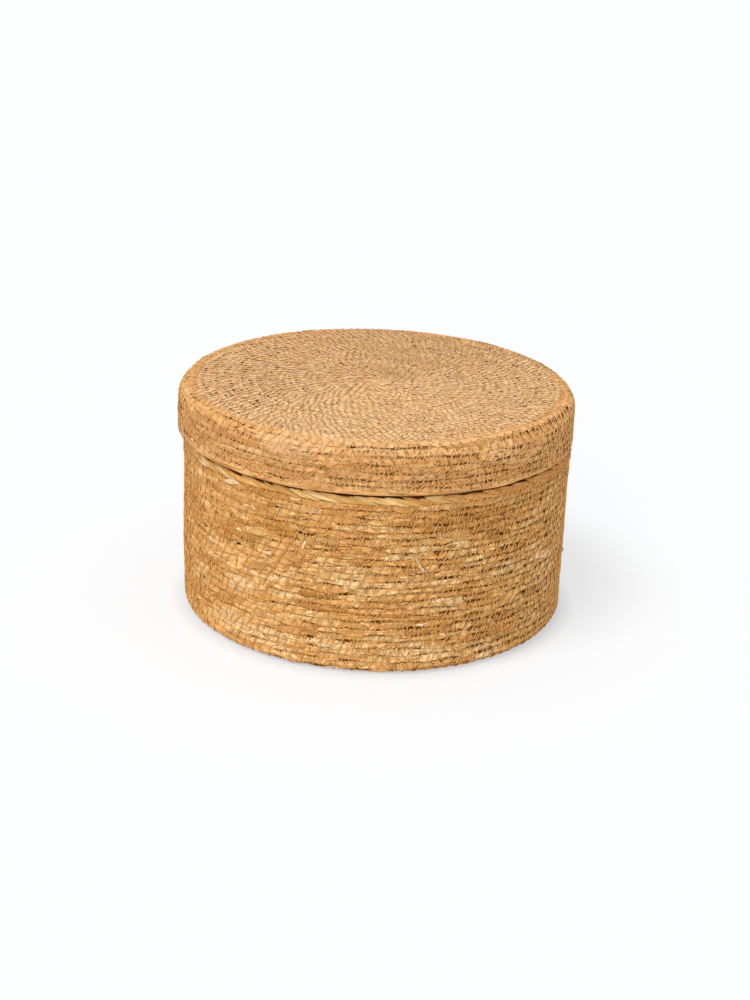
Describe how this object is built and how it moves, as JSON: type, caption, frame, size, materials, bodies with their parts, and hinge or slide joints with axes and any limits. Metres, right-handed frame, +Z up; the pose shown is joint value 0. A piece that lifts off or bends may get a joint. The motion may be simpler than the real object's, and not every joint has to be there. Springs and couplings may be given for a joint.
{
  "type": "lidded box",
  "caption": "Round box coiled from plant-fibre cord and sewn with zigzag thread, with a loose flat-topped lid that fits over an inner neck.",
  "frame": {"origin": "centre of the base, on the surface that the box stands on", "axes": "+Z up along the box's axis, -Y towards the front of the picture, +X to its right"},
  "size_m": [0.2954, 0.3, 0.176],
  "materials": {
    "body_fibre": "dry plant-fibre cord, matte",
    "rim_fibre": "pale plant-fibre cord, matte",
    "lid_fibre": "dry plant-fibre cord, matte"
  },
  "bodies": {
    "box": {"base_disc": "body_fibre", "wall_coil": "body_fibre", "rim_cord": "rim_fibre", "neck_coil": "body_fibre"},
    "lid": {"lid_top_coil": "lid_fibre", "lid_skirt_coil": "lid_fibre"}
  },
  "joints": [
    {"name": "lid_lift", "type": "slide", "parent": "box", "child": "lid", "axis": [0, 0, 1], "range_m": [0, 0.2]}
  ]
}
